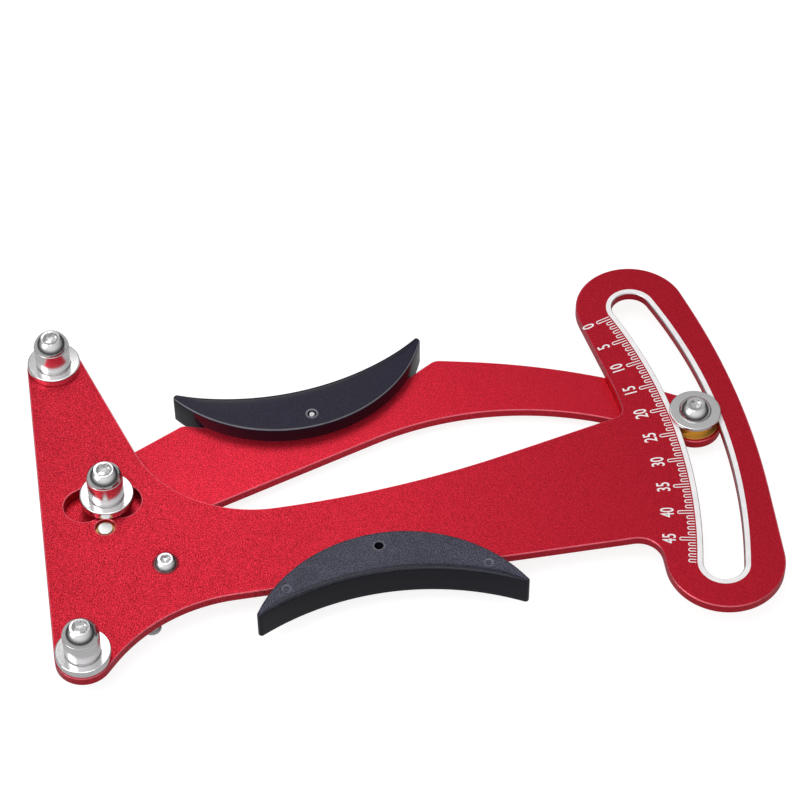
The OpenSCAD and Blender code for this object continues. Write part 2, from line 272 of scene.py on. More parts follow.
def make_grain():
    """Grain: a fine noise as a height, and a coarser one as patches of light and dark."""
    tree, given, out = group("blasted_grain", {"Scale": 4000.0}, ("Height", "Patches"))
    fine = noise(tree, given.outputs["Vector"], given.outputs["Scale"], 2.5, 0.65)
    coarse = noise(tree, given.outputs["Vector"], 420, 3.0)
    tree.links.new(fine, out.inputs["Height"])
    tree.links.new(spread(tree, coarse, 0.3, 0.7), out.inputs["Patches"])
    return tree


def make_handling():
    """Handling: wide soft clouds crossed by small ones, where fingers leave a film."""
    tree, given, out = group("handling", {"Amount": 1.0}, ("Film",))
    wide = spread(tree, noise(tree, given.outputs["Vector"], 28, 3.0), 0.42, 0.68)
    small = spread(tree, noise(tree, given.outputs["Vector"], 240, 4.0, 0.7), 0.35, 0.75)
    film = maths(tree, "MULTIPLY", maths(tree, "MULTIPLY", wide, small),
                 given.outputs["Amount"])
    tree.links.new(film, out.inputs["Film"])
    return tree


def make_worn_edge():
    """Worn edge and painted highlight: the piece's own edge value, broken up by noise and
    sharpened.
    """
    tree, given, out = group("worn_and_highlit_edge", {"Edge": 0.0, "Wear": 0.5}, ("Mask",))
    patches = noise(tree, given.outputs["Vector"], 300, 4.0, 0.6)
    reach = maths(tree, "ADD", maths(tree, "MULTIPLY", patches, 0.5),
                  given.outputs["Wear"])
    tree.links.new(spread(tree, maths(tree, "MULTIPLY", reach, given.outputs["Edge"]),
                          0.25, 0.75), out.inputs["Mask"])
    return tree


GRAIN, HANDLING, WORN_AND_HIGHLIT_EDGE = make_grain(), make_handling(), make_worn_edge()
print("groups", [g.name for g in (GRAIN, HANDLING, WORN_AND_HIGHLIT_EDGE)])


# %% [markdown]
# ## A finish
# Every finish here is one Principled shader, with a few of its values driven by the
# groups above. The node editor would do for one of them; a small class keeps a dozen
# alike and short. The patterns lie on Object coordinates, so that they stay on the piece
# when the lever turns.


# %% A material and its wiring
class Finish:
    """A material with its Principled shader and a few ways to wire it."""

    def __init__(self, name, colour, roughness, metallic=0.0, **constants):
        self.material = bpy.data.materials.new(name)
        self.material.use_nodes = True
        self.tree = self.material.node_tree
        self.shader = self.tree.nodes["Principled BSDF"]
        self.set("Base Color", (*colour, 1))
        self.set("Roughness", roughness)
        self.set("Metallic", metallic)
        for label, value in constants.items():
            self.set(label.replace("_", " "), value)
        self.place = self.tree.nodes.new("ShaderNodeTexCoord").outputs["Object"]

    def set(self, label, value):
        self.shader.inputs[label].default_value = value

    def link(self, socket, label):
        self.tree.links.new(socket, self.shader.inputs[label])

    def use(self, tree, **values):
        """Places a group; a value is a number or a socket."""
        node = self.tree.nodes.new("ShaderNodeGroup")
        node.node_tree = tree
        self.tree.links.new(self.place, node.inputs["Vector"])
        for label, value in values.items():
            feed(self.tree, value, node.inputs[label])
        return node.outputs

    def attribute(self, name):
        node = self.tree.nodes.new("ShaderNodeAttribute")
        node.attribute_name = name
        return node.outputs["Fac"]

    def mix(self, mask, one, other):
        """A colour between two; each is a colour or a socket."""
        node = self.tree.nodes.new("ShaderNodeMix")
        node.data_type = "RGBA"
        self.tree.links.new(mask, node.inputs["Factor"])
        for label, value in (("A", one), ("B", other)):
            socket = next(s for s in node.inputs if s.name == label and s.type == "RGBA")
            feed(self.tree, value, socket)
        return next(s for s in node.outputs if s.type == "RGBA")

    def bump(self, height, depth_mm, strength=1.0):
        """Tilts the light as if the surface rose by depth_mm where the height is 1."""
        node = self.tree.nodes.new("ShaderNodeBump")
        node.inputs["Distance"].default_value = depth_mm * MM
        node.inputs["Strength"].default_value = strength
        self.tree.links.new(height, node.inputs["Height"])
        self.link(node.outputs["Normal"], "Normal")


# %% [markdown]
# ## Red plates
# Both plates are aluminium, blasted with glass beads and dyed red. Red paint would be a
# plain colour under a gloss; dyed metal is a mirror with a red skin, so the shader stays
# metallic. Its colour changes between a deep and a bright red, grain by grain, which
# paints the glints of the grain; they fade towards the scale, where less light falls.
# The edges shine pink, partly where the skin has worn thin and partly as a painted
# highlight, and the lever's reds are brighter, as painted light.

# %% Dyed aluminium
RED, DEEP_RED, PALE_RED = (0.63, 0.015, 0.035), (0.18, 0.003, 0.006), (0.95, 0.18, 0.24)
GLINT = (1.0, 0.042, 0.080)
BARE = (0.70, 0.70, 0.71)       # metal with no dye, at the rim of the slot
# Painted light: along X from the first to the second, the grain's painted glints fade,
# where less light falls.
GLINTS_FADE_FROM, GLINTS_FADE_TO = 0.01, 0.17     # m along X: the sparkle fades towards the scale


def red_plate(name, strength):
    """Deep red to glint by the grain, which paints the grain's glints, then towards plain
    red along X, as these painted glints fade away from the light, and in patches; then to
    pale red by the edge mask, as wear and as a painted highlight. Strength multiplies the
    three reds and is how bright this one is; the lever's is higher, as painted light."""
    red, deep, glint = (tuple(c * strength for c in colour)
                        for colour in (RED, DEEP_RED, GLINT))
    f = Finish(name, red, 0.42, 0.9, Specular_IOR_Level=0.4)
    grain = f.use(GRAIN, Scale=3900.0)
    film = f.use(HANDLING, Amount=1.0)["Film"]
    # The edge mask pales the chamfers, partly as wear and partly as a painted highlight.
    worn_and_highlit = f.use(WORN_AND_HIGHLIT_EDGE, Edge=f.attribute("edge"), Wear=0.45)["Mask"]
    across = f.tree.nodes.new("ShaderNodeSeparateXYZ")
    f.tree.links.new(f.place, across.inputs["Vector"])
    glints_fade = spread(f.tree, across.outputs["X"], GLINTS_FADE_FROM, GLINTS_FADE_TO, 0.0, 0.65)
    sparkle = spread(f.tree, grain["Height"], 0.435, 0.565)
    dyed = f.mix(sparkle, deep, glint)
    dyed = f.mix(glints_fade, dyed, red)
    dyed = f.mix(spread(f.tree, grain["Patches"], 0, 1, 0, 0.30), dyed, red)
    dyed = f.mix(worn_and_highlit, dyed, PALE_RED)
    f.link(f.mix(f.attribute("bare"), dyed, BARE), "Base Color")
    rough = maths(f.tree, "ADD", spread(f.tree, film, 0, 1, 0.36, 0.46),
                  spread(f.tree, worn_and_highlit, 0, 1, 0.0, -0.12))
    f.link(rough, "Roughness")
    f.bump(grain["Height"], 0.06, 1.0)
    return f.material


plate_red = red_plate("plate_red", 0.96)
# The lever's reds are brighter than the plate's, as painted light: it gets more light.
lever_red = red_plate("lever_red", 1.10)
print("reds", plate_red.name, lever_red.name)

# %% [markdown]
# ## Metal off a lathe
# Posts, washers and screws are turned, and the tool leaves fine rings round them. Rings
# about one fixed axis would suit a single piece. Here each turned piece knows how far
# along its profile a point lies, and noise over that length gives rings on all of them.


# %% Turned metals
def turned_metal(name, colour, roughness, rings=0.008, metallic=1.0):
    """Rings are noise over the profile's length, as a tint and as a height of rings mm.
    The film that hands leave adds up to a tenth to the roughness."""
    f = Finish(name, colour, roughness, metallic)
    along = f.tree.nodes.new("ShaderNodeTexNoise")
    along.noise_dimensions = "1D"
    along.inputs["Scale"].default_value = 9.0
    along.inputs["Detail"].default_value = 3.0
    f.tree.links.new(f.attribute("along"), along.inputs["W"])
    film = f.use(HANDLING, Amount=1.0)["Film"]
    f.link(spread(f.tree, film, 0, 1, roughness, roughness + 0.10), "Roughness")
    tint = tuple(c * 0.82 for c in colour)
    f.link(f.mix(spread(f.tree, along.outputs["Fac"], 0.3, 0.7), tint, colour),
           "Base Color")
    f.bump(along.outputs["Fac"], rings, 0.5)
    return f.material


aluminium = turned_metal("turned_aluminium", (0.90, 0.89, 0.90), 0.19)
stainless = turned_metal("stainless_screw", (0.80, 0.79, 0.80), 0.17, 0.004)
zinc = turned_metal("zinc_plated", (0.46, 0.47, 0.48), 0.30, 0.01)
pale_steel = turned_metal("polished_pin", (0.93, 0.93, 0.92), 0.35, 0.004)
brass = turned_metal("brass", (0.95, 0.62, 0.15), 0.30, 0.01, 0.7)
wire_steel = turned_metal("spring_wire", (0.62, 0.62, 0.64), 0.22, 0.0)
print("turned metals", aluminium.name, stainless.name, zinc.name, brass.name)

# %% [markdown]
# ## Grip plastic
# The grips come dark out of a mould: grained in front and polished on the walls. The
# walls are painted dark as shade, and the edges paler, partly rubbed and partly a painted
# highlight. The upper one has been held until its front turned black and shiny, so the
# same finish is made twice, with other colours. A picture of the grain would show where
# it repeats, and noise doesn't.

# %% Moulded plastic
# WALL_PAINTED_SHADE is painted shade: the walls face away from the light.
# WORN_AND_HIGHLIT_GREY pales the edges, partly as wear and partly as a painted highlight.
WALL_PAINTED_SHADE, WORN_AND_HIGHLIT_GREY = (0.008, 0.008, 0.016), (0.20, 0.20, 0.23)


def moulded_plastic(name, dark, pale, gloss, clouds):
    """Dark to pale by the grain, back to dark under the film; the grain-and-light value, 1
    in the lit front and 0 on the walls, fades all that to black, which is painted shade on
    the walls; edges turn grey, partly as wear and partly as a painted highlight."""
    f = Finish(name, (0.020, 0.020, 0.030), 0.45, 0.0, Specular_IOR_Level=gloss)
    grain = f.use(GRAIN, Scale=2600.0)
    film = f.use(HANDLING, Amount=clouds)["Film"]
    # The edge mask greys the edges, partly as wear and partly as a painted highlight line.
    worn_and_highlit = f.use(WORN_AND_HIGHLIT_EDGE, Edge=f.attribute("edge"), Wear=0.38)["Mask"]
    shade = f.mix(spread(f.tree, grain["Height"], 0.42, 0.60), dark, pale)
    shade = f.mix(film, shade, dark)
    # Painted shade: where this attribute falls to 0, on the walls and on the lip, the
    # colour goes to the walls' black.
    shade = f.mix(f.attribute("grained"), WALL_PAINTED_SHADE, shade)
    f.link(f.mix(worn_and_highlit, shade, WORN_AND_HIGHLIT_GREY), "Base Color")
    rough = spread(f.tree, f.attribute("grained"), 0, 1, 0.20, 0.46)
    f.link(maths(f.tree, "SUBTRACT", rough, maths(f.tree, "MULTIPLY", film, 0.12)),
           "Roughness")
    f.bump(maths(f.tree, "MULTIPLY", grain["Height"], f.attribute("grained")), 0.05, 0.5)
    return f.material


grained_plastic = moulded_plastic("grained_grip", (0.016, 0.016, 0.028),
                                  (0.115, 0.115, 0.165), 0.25, 0.7)
rubbed_plastic = moulded_plastic("rubbed_grip", (0.003, 0.002, 0.010),
                                 (0.016, 0.013, 0.038), 0.30, 1.0)
print("plastics", grained_plastic.name, rubbed_plastic.name)

# %% [markdown]
# ## White ink
# The scale is printed in matt white ink. Ink could be a mask in the red finish; as a
# finish of its own it goes on strokes that are real meshes, with edges that stay sharp.


# %% Ink
def white_print(name):
    """White that changes a little in patches, over the grain of the metal below."""
    f = Finish(name, (0.92, 0.90, 0.91), 0.5)
    grain = f.use(GRAIN, Scale=3600.0)
    f.link(f.mix(grain["Patches"], (0.88, 0.85, 0.87), (0.97, 0.95, 0.96)), "Base Color")
    f.bump(grain["Height"], 0.01, 0.3)
    return f.material


ink = white_print("scale_print")
print("materials", len(bpy.data.materials))


# %% [markdown]
# ## Floor
# The tool lies on white paper. Paper white enough under these lamps would throw light
# back on the tool, so it is a grey that shines by itself: for the camera, which sees
# clean white with a soft shadow, and a little for mirrors, so that steel shows it too.

# %% Lay the floor
paper = Finish("white_paper", (0.30, 0.30, 0.30), 0.9)
paper.set("Emission Color", (1, 1, 1, 1))
rays = paper.tree.nodes.new("ShaderNodeLightPath").outputs
for_camera = spread(paper.tree, rays["Is Camera Ray"], 0, 1, 0.0, 0.86)
for_gloss = spread(paper.tree, rays["Is Glossy Ray"], 0, 1, 0.0, 0.20)
paper.link(maths(paper.tree, "ADD", for_camera, for_gloss), "Emission Strength")
FLOOR_SIDE, FLOOR_DROP = 6.0, 0.0002  # m
floor_mesh = bpy.data.meshes.new("floor")
floor_mesh.from_pydata([(x * FLOOR_SIDE / 2, y * FLOOR_SIDE / 2, -FLOOR_DROP)
                        for x, y in ((-1, -1), (1, -1), (1, 1), (-1, 1))],
                       [], [(0, 1, 2, 3)])
floor_mesh.materials.append(paper.material)
floor = bpy.data.objects.new("floor", floor_mesh)
bpy.context.collection.objects.link(floor)
print("floor", FLOOR_SIDE, "m across")


# %% [markdown]
# ## From arrays to a piece
# A piece is an array of points and a list of faces. Blender's own shapes and modifiers
# could make many of them, but with arrays the finish can also be told what each point
# is: how near an edge, how far along a profile. The first function below makes the
# object and says which body it moves with; the other two make faces.


# %% Make a piece
def piece_of(name, points, faces, material, body, stands_for=(), crease=32, **values):
    """Points in mm become a mesh at the origin, smooth up to the crease angle."""
    mesh = bpy.data.meshes.new(name)
    mesh.from_pydata(np.asarray(points, float) * MM, [],
                     [tuple(int(i) for i in f) for f in faces])
    mesh.polygons.foreach_set("use_smooth", np.ones(len(mesh.polygons), bool))
    mesh.set_sharp_from_angle(angle=radians(crease))
    for label, numbers in values.items():
        layer = mesh.attributes.new(label, "FLOAT", "POINT")
        layer.data.foreach_set("value", np.asarray(numbers, np.float32))
    mesh.materials.append(material)
    piece = bpy.data.objects.new(name, mesh)
    bpy.context.collection.objects.link(piece)
    if body:
        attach(piece, body)
    for node in stands_for:
        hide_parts(node)
    return piece


def grid_faces(rows, columns, wrap_rows=False):
    """Four-sided faces between neighbouring rows and columns of a grid of points. The
    last column always joins the first, and with wrap_rows the last row the first."""
    i = np.arange(rows if wrap_rows else rows - 1)[:, None]
    j = np.arange(columns)[None, :]
    up, on = (i + 1) % rows, (j + 1) % columns
    return np.stack([i * columns + j, i * columns + on, up * columns + on,
                     up * columns + j], -1).reshape(-1, 4)


def fill(points, loops, up):
    """Triangles over the first loop of points, less the others, facing up or down: the
    cross product of two sides tells which way one faces."""
    order = np.concatenate(loops)
    corners = order[np.array(tessellate_polygon(
        [[Vector(p) for p in points[loop]] for loop in loops]))]
    a, b, c = (points[corners[:, i], :2] for i in range(3))
    faces_up = np.cross(b - a, c - a) > 0
    corners[faces_up != up] = corners[faces_up != up][:, ::-1]
    return corners


# %% [markdown]
# ## Outlines with rounded corners
# A plate could be traced point by point, but nobody could change it afterwards. Here its
# outline is a few corners, each with a radius, and an arc is put in each corner so that
# it touches both sides, the way a draughtsman would. A lobe is the round end of an arm
# about a known centre: the sides run from it as tangents.


# %% Arcs
SHORTEST = 0.008  # mm; a point nearer than this to the next one is left out


def arc(centre, radius, start, end, fine=0.012):
    """Points on an arc, in radians, close enough that no chord strays by fine mm, which
    is the radius times 1 less the cosine of half a step."""
    step = min(radians(6), 2 * acos(1 - fine / radius))
    t = np.linspace(start, end, max(2, ceil(abs(end - start) / step)) + 1)
    return np.asarray(centre) + radius * np.stack([np.cos(t), np.sin(t)], 1)


def circle(centre, radius):
    """The arc once round, less its doubled last point."""
    return arc(centre, radius, 0, 2 * pi)[:-1]


def without_doubles(line):
    """A closed line less each point that lies too near the next."""
    return line[np.hypot(*(line - np.roll(line, -1, 0)).T) > SHORTEST]


def lobe(centre, radius, before, after):
    """Two corners that round into one arc about centre, touched from both points. Seen
    from centre, a side touches at the angle from its point whose cosine is the radius
    over the distance; the corners stand a quarter and three quarters along the arc."""
    to_before = np.subtract(before, centre)
    to_after = np.subtract(after, centre)
    n0 = atan2(to_before[1], to_before[0]) + acos(radius / hypot(*to_before))
    n1 = atan2(to_after[1], to_after[0]) - acos(radius / hypot(*to_after))
    q = ((n1 - n0) % (2 * pi)) / 4
    reach = radius / cos(q)
    return [(centre[0] + reach * cos(n0 + k * q), centre[1] + reach * sin(n0 + k * q),
             radius) for k in (1, 3)]


def corner_arc(a, b, c, radius):
    """The arc of that radius that touches b-a and b-c: its centre is on the bisector, the
    radius over the sine of half the angle away from b."""
    u, w = (a - b) / hypot(*(a - b)), (c - b) / hypot(*(c - b))
    half = acos(float(u @ w)) / 2
    centre = b + (u + w) / hypot(*(u + w)) * radius / sin(half)
    start, end = b + u * radius / tan(half) - centre, b + w * radius / tan(half) - centre
    a0 = atan2(start[1], start[0])
    swing = atan2(end[1], end[0]) - a0
    return arc(centre, radius, a0, a0 + swing - 2 * pi * round(swing / (2 * pi)))


print("points in a circle of 3 mm", len(circle((0, 0), 3)))


# %% Outlines
def rounded(corners):
    """A closed outline from its corners (x, y, radius), counter-clockwise."""
    p = np.array([c[:2] for c in corners], float)
    pieces = [corner_arc(p[i - 1], p[i], p[(i + 1) % len(p)], c[2]) if c[2] else p[i:i + 1]
              for i, c in enumerate(corners)]
    return without_doubles(np.concatenate(pieces))


def round_slot(radius, half_width, start, end):
    """The closed outline of a slot along an arc about the pivot, counter-clockwise: an
    arc on either side and a half circle at each end."""
    def end_point(a):
        return radius * cos(a), radius * sin(a)
    return without_doubles(np.concatenate([
        arc((0, 0), radius + half_width, start, end),
        arc(end_point(end), half_width, end, end + pi),
        arc((0, 0), radius - half_width, end, start),
        arc(end_point(start), half_width, start + pi, start + 2 * pi)]))


def inset(loop, by):
    """Moves each point of a closed loop to its left, along the bisector of its two
    sides, by one number of mm or by one a point, over the cosine of half the turn."""
    ahead, behind = np.roll(loop, -1, 0) - loop, loop - np.roll(loop, 1, 0)
    ahead /= np.hypot(*ahead.T)[:, None]
    behind /= np.hypot(*behind.T)[:, None]
    along = ahead + behind
    along /= np.hypot(*along.T)[:, None]
    reach = np.asarray(by) / np.sum(along * ahead, 1)
    return loop + reach[:, None] * np.stack([-along[:, 1], along[:, 0]], 1)


print("points in a round-cornered square", len(rounded(
    [(0, 0, 1), (9, 0, 1), (9, 9, 1), (0, 9, 1)])))


# %% [markdown]
# ## A plate
# Each plate is cut from 3 mm sheet. A bevel modifier would find its way round the
# outline too, but here each loop, outer or inner, carries the same section: wall,
# chamfer, and a narrow rim of the face. The rim's points know that they are an edge,
# so the finish can pale there, as wear and as a painted highlight. The faces between the
# rims are filled with triangles.

# %% Plate function
CHAMFER, RIM = 0.20, 0.30
print("chamfer", CHAMFER, "rim", RIM)


def plate(name, outline, holes, low, high, material, body, node, bare=()):
    """Sweeps one section round the outline and each hole: face rim, chamfer, wall,
    chamfer, face rim. bare numbers the holes whose upper rim has lost its dye."""
    section = ((CHAMFER + RIM, low, 0), (CHAMFER, low, 1), (0, low + CHAMFER, 1),
               (0, low + 2 * CHAMFER, 0), (0, high - 2 * CHAMFER, 0),
               (0, high - CHAMFER, 1), (CHAMFER, high, 1), (CHAMFER + RIM, high, 0))
    points, faces, edge, silver, caps = [], [], [], [], ([], [])
    count = 0
    for k, loop in enumerate([outline] + [h[::-1] for h in holes]):
        n = len(loop)
        for depth, z, value in section:
            points.append(np.column_stack([inset(loop, depth), np.full(n, z)]))
            edge.append(np.full(n, value))
            silver.append(np.full(n, value if k - 1 in bare and z > low + 1 else 0))
        faces.extend(grid_faces(len(section), n) + count)
        caps[0].append(np.arange(n) + count)
        caps[1].append(np.arange(n) + count + n * (len(section) - 1))
        count += n * len(section)
    points = np.concatenate(points)
    faces.extend(fill(points, caps[0], False))
    faces.extend(fill(points, caps[1], True))
    return piece_of(name, points, faces, material, body, (node,), 20,
                    edge=np.concatenate(edge), bare=np.concatenate(silver))


# %% Hole sizes
M6_HOLE, M5_HOLE, ANCHOR_HOLE, PAD_SCREW_HOLE = 3.05, 2.55, 2.05, 1.3   # radii, mm
RING_HOLE, BUSH_HOLE, STUD_HOLE = 2.92, 3.62, 2.02
print("widest hole", 2 * BUSH_HOLE)

# %% [markdown]
# ## The front plate
# The front plate carries the two fixed posts, the scale and one grip. Its arms end in
# lobes about the posts, whose centres come from the frame, and about the ends of the
# slot. The long sides between them were measured on the photograph.

# %% The front plate
upper_post, lower_post = middle("upper_post_sleeve"), middle("lower_post_sleeve")
moving_post, pointer = middle("moving_post_sleeve"), middle("pointer_washer")
anchor = middle("spring_anchor_screw")
POST_LOBE, SLOT_R, SLOT_HALF, WINDOW_HALF = 8.3, 180.5, 6.0, 6.2
SLOT_START, SLOT_END = radians(-13.3), radians(19.8)
WINDOW_START, WINDOW_END = radians(60), radians(120)
left_edge = (upper_post[0] - POST_LOBE, 0)
plate_outline = rounded([
    *lobe(lower_post, POST_LOBE, left_edge, (12.8, -30.8)),
    (12.8, -30.8, 48), (159.1, -28.6, 7),
    *lobe((176.4, -40.2), 17.4, (159.1, -28.6), (197, 21.5)),
    (197, 21.5, 260),
    *lobe((169.8, 60.8), 17.2, (197, 21.5), (158.1, 28)),
    (158.1, 28, 50), (158.8, 18.3, 3.5), (86.8, 0.1, 300), (20.6, -1.2, 40),
    *lobe(upper_post, POST_LOBE, (20.6, -1.2), left_edge)])
scale_slot = round_slot(SLOT_R, SLOT_HALF, SLOT_START, SLOT_END)
post_window = round_slot(hypot(*moving_post), WINDOW_HALF, WINDOW_START, WINDOW_END)
plate("red_front_plate", plate_outline,
      [scale_slot, post_window, circle(upper_post, M6_HOLE), circle(lower_post, M6_HOLE),
       circle((0, 0), RING_HOLE), circle(anchor, ANCHOR_HOLE),
       circle(middle("lower_pad_screw"), PAD_SCREW_HOLE)],
      plate_back, face, plate_red, "frame", "front_plate", bare=(0,))
print("front plate outline", len(plate_outline))

# %% [markdown]
# ## The lever
# The lever lies behind: an arm with a knee, a disc about the pivot, a round tip under the
# pointer, and a short tail that the spring pulls. Arm, disc and tail could be solids run
# together, but that leaves seams on a face that is really one sheet. So it has one
# outline, like the front plate.

# %% The lever
DISC, TIP, TAIL = 17.0, 8.2, 3.5
tail_end = middle("spring_lever_stud")
lever_outline = rounded([
    (20.8, 2.05, 8), (126.5, 38.9, 96),
    *lobe(pointer, TIP, (126.5, 38.9), (147.3, 43.5)),
    (147.3, 43.5, 200), (106.2, 52.2, 4.5), (66.4, 26.1, 86), (26.5, 38.2, 3),
    (-11.4, 18.4, 10),
    *lobe((0, 0), DISC, (-11.4, 18.4), (-0.1, -18.05)),
    (-0.1, -18.05, 4),
    *lobe(tail_end, TAIL, (-0.1, -18.05), (7.7, -20.5)),
    (7.7, -20.5, 4), (7.8, -15.65, 2.5),
    *lobe((0, 0), DISC, (7.8, -15.65), (20.8, 2.05))])
plate("red_lever", lever_outline,
      [circle((0, 0), BUSH_HOLE), circle(moving_post, M6_HOLE), circle(pointer, M5_HOLE),
       circle(tail_end, STUD_HOLE), circle(middle("upper_pad_screw"), PAD_SCREW_HOLE)],
      lever_back, lever_front, lever_red, "lever", "lever_arm")
print("lever outline", len(lever_outline))

# %% [markdown]
# ## The printed scale
# Each unit of the scale is a small hollow loop of white ink, longer at every fifth, and
# a white band follows the slot. A picture on the face would blur close up. Ink has a
# thickness, so the lines here are thin solid ribbons: one stroke is worked out as an
# array, and turning it about the pivot by one unit at a time gives all the others.

# %% Ribbon function
INK = 0.03  # mm thick
print("ink from", face, "to", face + INK)


def ribbon(lines, half_width, closed=False):
    """Flat solid strokes: at each point of a line, four corners half_width to its left
    and right, on the face and one thickness of ink above it. lines holds strokes x
    points x 2; returns points and faces."""
    lines = np.asarray(lines, float)
    strokes, n = lines.shape[:2]
    if closed:
        step = np.roll(lines, -1, 1) - np.roll(lines, 1, 1)
    else:
        step = np.gradient(lines, axis=1)
    step /= np.linalg.norm(step, axis=2, keepdims=True)
    side = np.stack([-step[..., 1], step[..., 0]], -1) * half_width
    ring = [np.concatenate([lines + s * side, np.full((strokes, n, 1), z)], 2)
            for s, z in ((1, face), (-1, face), (-1, face + INK), (1, face + INK))]
    points = np.stack(ring, 2).reshape(-1, 3)
    one = grid_faces(n, 4, wrap_rows=closed)
    if not closed:
        last = 4 * (n - 1)
        one = np.concatenate([one, [[3, 2, 1, 0], [last, last + 1, last + 2, last + 3]]])
    faces = (one[None] + (np.arange(strokes) * 4 * n)[:, None, None]).reshape(-1, 4)
    return points, faces


# %% Scale marks and the band
ZERO, UNIT = radians(19.6), radians(-0.672)
UNITS, OUTER, SHORT, LONG = 50, 172.45, 170.3, 167.8   # radii about the pivot, mm
HALF_LOOP, HALF_LINE = 0.50, 0.15
BAND_GAP, BAND_OUT = 0.02, 7.7          # from the chamfer; from the slot's middle line


def unit_loop(inner):
    """One open-ended loop at angle 0: in along one side, round, and out again."""
    turn = arc((inner + HALF_LOOP, 0), HALF_LOOP, pi / 2, 3 * pi / 2)
    return np.concatenate([[(OUTER, HALF_LOOP)], turn, [(OUTER, -HALF_LOOP)]])


def about_pivot(line, angles):
    """The line turned about the pivot by each angle: x times its cosine less y times its
    sine, and x times its sine plus y times its cosine."""
    c, s = np.cos(angles)[:, None], np.sin(angles)[:, None]
    return np.stack([line[:, 0] * c - line[:, 1] * s, line[:, 0] * s + line[:, 1] * c], -1)


units = np.arange(UNITS)
angles = ZERO + UNIT * units
for label, inner, chosen in (("scale_units", SHORT, units % 5 > 0),
                             ("scale_fives", LONG, units % 5 == 0)):
    points, faces = ribbon(about_pivot(unit_loop(inner), angles[chosen]), HALF_LINE)
    piece_of(label, points, faces, ink, "frame")
band_in = SLOT_HALF + CHAMFER + BAND_GAP
band_line = round_slot(SLOT_R, (band_in + BAND_OUT) / 2, SLOT_START, SLOT_END)
points, faces = ribbon(band_line[None], (BAND_OUT - band_in) / 2, closed=True)
piece_of("slot_band", points, faces, ink, "frame")
print("scale marks", UNITS)

# %% [markdown]
# ## The numbers
# Ten plain narrow numbers stand beside the marks. Strokes could draw them as well, but a
# text object has good digits ready: it is made a mesh first, and then narrowed, turned
# and put on its arc, so that the finished object itself stays at the origin.

# %% Scale numbers
NUMBER_R, DIGIT_HEIGHT, DIGIT_WIDTH = 164.9, 3.9, 0.66
DIGIT_SHARE, BOLDER = 0.70, 0.055       # a digit's height over the font's; mm of offset


def number(value):
    """A number as a mesh, its middle on the number arc, its top towards the pivot."""
    text = bpy.data.curves.new(f"number_{value}", "FONT")
    text.body, text.align_x, text.align_y = str(value), "CENTER", "CENTER"
    text.size, text.extrude, text.offset = DIGIT_HEIGHT / DIGIT_SHARE, INK / 2, BOLDER
    letters = bpy.data.objects.new("letters", text)
    bpy.context.collection.objects.link(letters)
    mesh = bpy.data.meshes.new_from_object(letters.evaluated_get(
        bpy.context.evaluated_depsgraph_get()))
    bpy.data.objects.remove(letters)
    angle = ZERO + UNIT * value
    mesh.transform(Matrix.Scale(MM, 4)
                   @ Matrix.Rotation(angle, 4, "Z")
                   @ Matrix.Translation((NUMBER_R, 0, face + INK / 2))
                   @ Matrix.Rotation(pi / 2, 4, "Z")
                   @ Matrix.Diagonal((DIGIT_WIDTH, 1, 1, 1)))
    mesh.materials.clear()
    mesh.materials.append(ink)
    piece = bpy.data.objects.new(f"number_{value}", mesh)
    bpy.context.collection.objects.link(piece)
    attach(piece, "frame")


for value in range(0, UNITS, 5):
    number(value)
print("numbers", list(range(0, UNITS, 5)))

# %% [markdown]
# ## Turned pieces
# Posts, washers, bushes and screws come off a lathe: one profile swept about an axis.
# In the grid of points, a row is a point of the profile and a column is an angle. A
# hex socket is the same sweep with the radius stretched towards a hexagon, and a
# thread is the same sweep with the radius waved by height and angle together.

# %% Profiles
COLUMNS = 96
print("one column each", 360 / COLUMNS, "degrees")


def profile(corners):
    """An open profile from its corners (r, z, fillet); each fillet may be 0."""
    p = np.array([c[:2] for c in corners], float)
    parts = [corner_arc(p[i - 1], p[i], p[i + 1], c[2]) if 0 < i < len(p) - 1 and c[2]
             else p[i:i + 1] for i, c in enumerate(corners)]
    return np.concatenate(parts)


# %% Turned surface
def turned(name, centre, line, material, body, node, ring=False, hexagon=None,
           thread=None, crease=32):
    """Each point (r, z) of the profile goes round centre as a circle of that radius at
    that height. ring joins the last point to the first; hexagon holds, for each row, 0
    for round to 1 for six-sided; thread is a pitch, a depth, and the z between which it
    runs: there the radius falls by a zigzag of z over the pitch less the turn's share."""
    line = np.asarray(line, float)
    rows = len(line)
    turn = np.linspace(0, 2 * pi, COLUMNS, endpoint=False)
    r = np.repeat(line[:, :1], COLUMNS, 1)
    z = np.repeat(line[:, 1:2], COLUMNS, 1)
    if hexagon is not None:
        six = 1 / np.cos(turn % (pi / 3) - pi / 6)
        r = r * (1 + np.asarray(hexagon, float)[:, None] * (six - 1)[None])
    if thread:
        pitch, depth, low, high = thread
        wave = np.abs((z / pitch - turn / (2 * pi)) % 1 - 0.5) * 2
        r = r - np.where((z > low) & (z < high), depth * wave, 0)
    points = np.stack([centre[0] + r * np.cos(turn), centre[1] + r * np.sin(turn), z],
                      -1).reshape(-1, 3)
    faces = [tuple(f) for f in grid_faces(rows, COLUMNS, wrap_rows=ring)]
    if not ring:
        faces.append(tuple(range(COLUMNS))[::-1])
        faces.append(tuple(range((rows - 1) * COLUMNS, rows * COLUMNS)))
    along = np.concatenate([[0], np.cumsum(np.hypot(*np.diff(line, axis=0).T))])
    return piece_of(name, points, faces, material, body, (node,), crease,
                    along=np.repeat(along, COLUMNS), edge=np.zeros(rows * COLUMNS))


# %% [markdown]
# ## The posts
# The three aluminium posts are what the tool measures with. Each is a flanged sleeve with
# a shallow neck just above the flange, which two cylinders and a bevel would miss. So the
# section is one closed profile, each corner with its fillet, and it goes round the
# screw's hole.

